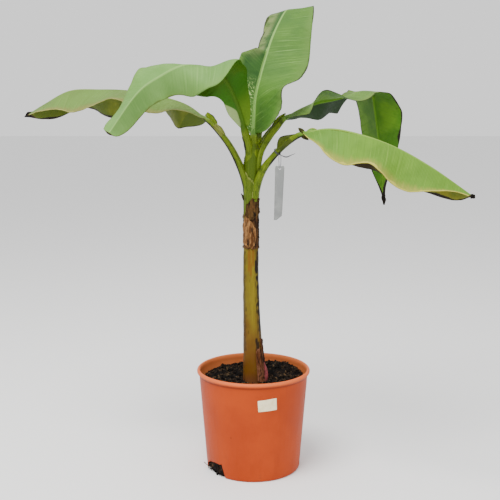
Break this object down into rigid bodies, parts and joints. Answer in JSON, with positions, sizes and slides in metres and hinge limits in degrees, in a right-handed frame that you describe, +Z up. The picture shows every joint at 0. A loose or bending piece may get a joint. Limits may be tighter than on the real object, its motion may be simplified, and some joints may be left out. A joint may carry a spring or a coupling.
{
  "type": "potted banana plant",
  "caption": "Young banana plant with broad arching leaves on a slim stem, standing in a round plastic nursery pot of compost.",
  "frame": {"origin": "centre of the pot's flat underside", "axes": "+Z up, +X to the right and -Y towards the viewer in the front view that the picture shows"},
  "size_m": [1.0523, 0.4877, 1.1438],
  "materials": {
    "pot": "satin terracotta-coloured moulded plastic",
    "compost": "coarse moist compost with bark",
    "stem": "smooth olive-green sheaths, brown and papery in places",
    "stalk": "smooth, faintly ribbed, channelled above",
    "leaf": "satin green blade with fine cross veins and a pale midrib",
    "dry_sheath": "dry, papery, cracked lengthways",
    "tag": "plain pale plastic strip"
  },
  "bodies": {
    "root": {"pot": "pot", "soil": "compost", "stem": "stem", "stalk_upright": "stalk", "blade_upright_rising": "leaf", "blade_upright_arching": "leaf", "stalk_near_left": "stalk", "blade_near_left_rising": "leaf", "blade_near_left_hanging": "leaf", "stalk_far_right": "stalk", "blade_far_right_arm": "leaf", "blade_far_right_hanging": "leaf", "stalk_far_left": "stalk", "blade_far_left": "leaf", "stalk_near_right": "stalk", "blade_near_right": "leaf", "withered_sheath": "dry_sheath", "tag": "tag"}
  },
  "joints": []
}
